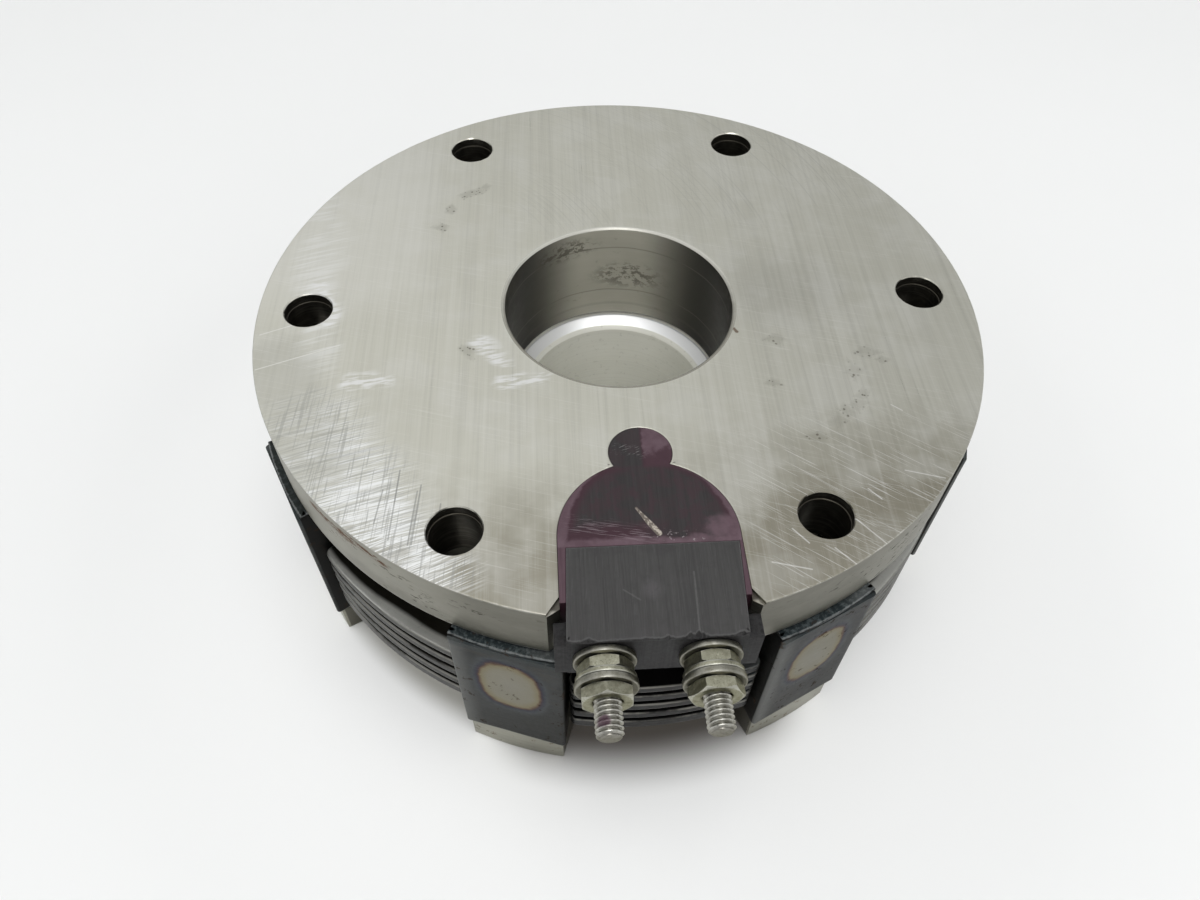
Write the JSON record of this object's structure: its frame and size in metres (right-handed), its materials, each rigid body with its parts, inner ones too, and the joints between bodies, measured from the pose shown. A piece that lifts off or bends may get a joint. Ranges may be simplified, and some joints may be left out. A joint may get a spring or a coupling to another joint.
{
  "type": "multi-disc brake",
  "caption": "Round electromagnetic brake: a flanged magnet with coil and terminal studs clamps a stack of lugged and splined discs between a fingered carrier and a hub.",
  "frame": {"origin": "middle of the part's footprint, terminals included, at the underside of the carrier spider that the brake stands on; the shaft axis is at x = 0, y = +6.69 mm", "axes": "+Z parallel to the shaft axis, towards the ground mounting face of the flange; the terminals face -Y"},
  "size_m": [0.1292, 0.1426, 0.0515],
  "materials": {
    "ground_steel": "fine ground face, light scratches",
    "machined_steel": "machined, a little rust",
    "oxide_steel": "blue-grey heat oxide with temper colours",
    "disc_steel": "dull stamped steel, bright burr edges",
    "inner_disc_steel": "dark, oily",
    "hub_steel": "turned, bright",
    "blacked_steel": "blackened",
    "zinc": "dull zinc plate with an olive tint",
    "copper": "enamelled winding wire",
    "resin": "burgundy potting resin, sanded in its middle",
    "block": "dark grey moulding, brushed flat",
    "bobbin": "natural"
  },
  "bodies": {
    "stator": {"magnet_body": "ground_steel", "coil_bobbin": "bobbin", "coil_winding": "copper", "coil_potting": "resin", "terminal_resin": "resin", "terminal_block": "block", "terminal_stud_left": "zinc", "terminal_stud_right": "zinc", "inner_washer_left": "zinc", "inner_nut_left": "zinc", "spring_washer_left": "zinc", "outer_washer_left": "zinc", "outer_nut_left": "zinc", "inner_washer_right": "zinc", "inner_nut_right": "zinc", "spring_washer_right": "zinc", "outer_washer_right": "zinc", "outer_nut_right": "zinc", "coil_lead_left": "copper", "coil_lead_right": "copper", "carrier_spider": "machined_steel", "carrier_finger_1": "oxide_steel", "carrier_finger_2": "oxide_steel", "carrier_finger_3": "oxide_steel", "carrier_finger_4": "oxide_steel", "carrier_finger_5": "oxide_steel", "carrier_finger_6": "oxide_steel", "carrier_finger_7": "oxide_steel", "carrier_finger_8": "oxide_steel"},
    "hub": {"hub": "hub_steel", "adjusting_nut": "blacked_steel", "nut_lock_screw": "blacked_steel"},
    "armature": {"armature_plate": "machined_steel"},
    "outer_disc_1": {"outer_disc_1": "disc_steel"},
    "outer_disc_2": {"outer_disc_2": "disc_steel"},
    "outer_disc_3": {"outer_disc_3": "disc_steel"},
    "outer_disc_4": {"outer_disc_4": "disc_steel"},
    "outer_disc_5": {"outer_disc_5": "disc_steel"},
    "inner_disc_1": {"inner_disc_1": "inner_disc_steel"},
    "inner_disc_2": {"inner_disc_2": "inner_disc_steel"},
    "inner_disc_3": {"inner_disc_3": "inner_disc_steel"},
    "inner_disc_4": {"inner_disc_4": "inner_disc_steel"}
  },
  "joints": [
    {"name": "hub_spin", "type": "hinge", "parent": "stator", "child": "hub", "pos_m": [0, 0.00669, 0], "axis": [0, 0, 1], "continuous": true},
    {"name": "armature_slide", "type": "slide", "parent": "hub", "child": "armature", "axis": [0, 0, 1], "range_m": [0, 0.0008]},
    {"name": "outer_disc_1_slide", "type": "slide", "parent": "stator", "child": "outer_disc_1", "axis": [0, 0, 1], "range_m": [0, 0.00008]},
    {"name": "inner_disc_1_slide", "type": "slide", "parent": "hub", "child": "inner_disc_1", "axis": [0, 0, 1], "range_m": [0, 0.00016]},
    {"name": "outer_disc_2_slide", "type": "slide", "parent": "stator", "child": "outer_disc_2", "axis": [0, 0, 1], "range_m": [0, 0.00024]},
    {"name": "inner_disc_2_slide", "type": "slide", "parent": "hub", "child": "inner_disc_2", "axis": [0, 0, 1], "range_m": [0, 0.00032]},
    {"name": "outer_disc_3_slide", "type": "slide", "parent": "stator", "child": "outer_disc_3", "axis": [0, 0, 1], "range_m": [0, 0.0004]},
    {"name": "inner_disc_3_slide", "type": "slide", "parent": "hub", "child": "inner_disc_3", "axis": [0, 0, 1], "range_m": [0, 0.00048]},
    {"name": "outer_disc_4_slide", "type": "slide", "parent": "stator", "child": "outer_disc_4", "axis": [0, 0, 1], "range_m": [0, 0.00056]},
    {"name": "inner_disc_4_slide", "type": "slide", "parent": "hub", "child": "inner_disc_4", "axis": [0, 0, 1], "range_m": [0, 0.00064]},
    {"name": "outer_disc_5_slide", "type": "slide", "parent": "stator", "child": "outer_disc_5", "axis": [0, 0, 1], "range_m": [0, 0.00072]}
  ],
  "couplings": [
    {"joint": "outer_disc_1_slide", "follows": "armature_slide", "ratio": 0.1},
    {"joint": "inner_disc_1_slide", "follows": "armature_slide", "ratio": 0.2},
    {"joint": "outer_disc_2_slide", "follows": "armature_slide", "ratio": 0.3},
    {"joint": "inner_disc_2_slide", "follows": "armature_slide", "ratio": 0.4},
    {"joint": "outer_disc_3_slide", "follows": "armature_slide", "ratio": 0.5},
    {"joint": "inner_disc_3_slide", "follows": "armature_slide", "ratio": 0.6},
    {"joint": "outer_disc_4_slide", "follows": "armature_slide", "ratio": 0.7},
    {"joint": "inner_disc_4_slide", "follows": "armature_slide", "ratio": 0.8},
    {"joint": "outer_disc_5_slide", "follows": "armature_slide", "ratio": 0.9}
  ]
}
